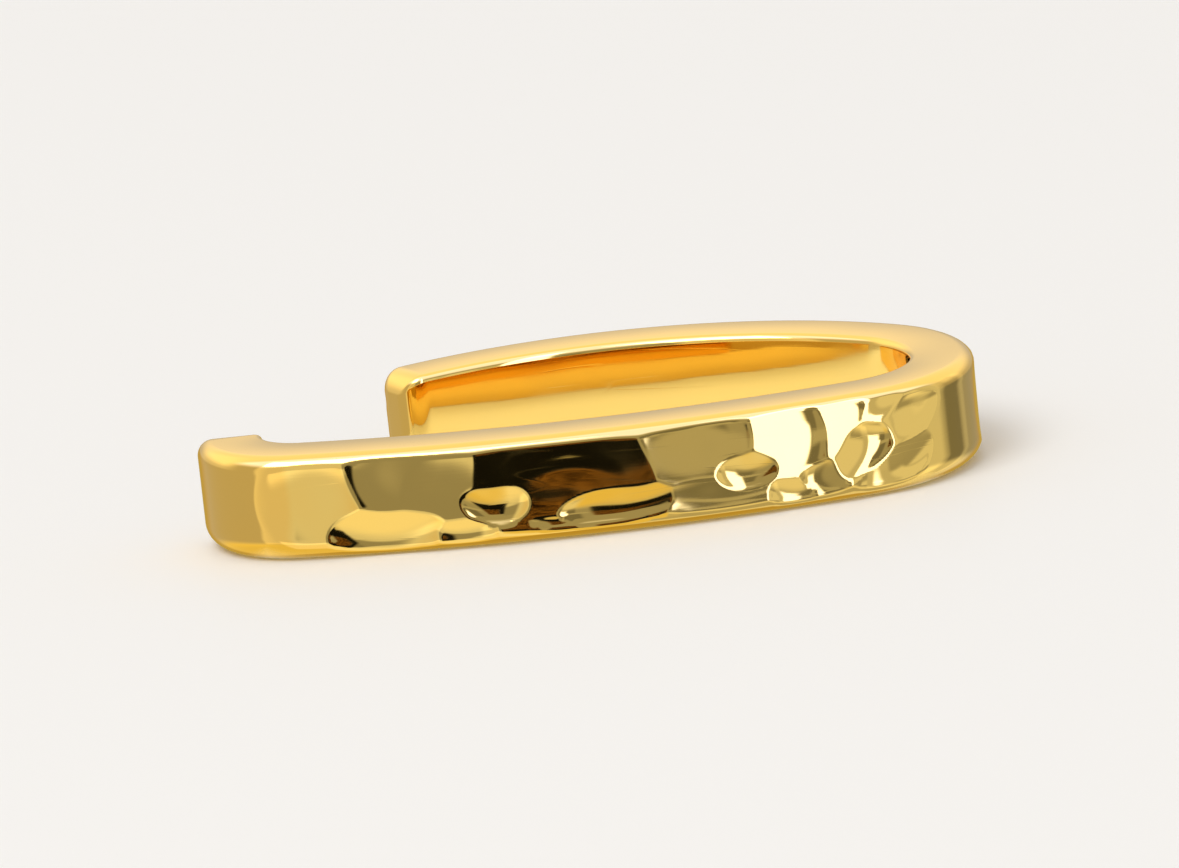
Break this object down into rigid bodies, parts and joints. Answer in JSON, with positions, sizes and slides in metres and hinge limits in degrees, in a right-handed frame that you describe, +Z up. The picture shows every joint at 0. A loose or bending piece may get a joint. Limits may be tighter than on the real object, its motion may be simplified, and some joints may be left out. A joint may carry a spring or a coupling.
{
  "type": "ear cuff",
  "caption": "Gold ear cuff: a band with a hammered outer face, bent into an open D that slips over the rim of an ear.",
  "frame": {"origin": "under the middle of the cuff's box, on the surface that its lower rim rests on", "axes": "+Z up through the ring of the band, +X along the front arm from the front tip to the side bend, -Y out of the front face"},
  "size_m": [0.013, 0.0068, 0.0018],
  "materials": {
    "polished_gold": "gold-plated, polished, with a hammered outer face"
  },
  "bodies": {
    "root": {"cuff_band": "polished_gold"}
  },
  "joints": []
}
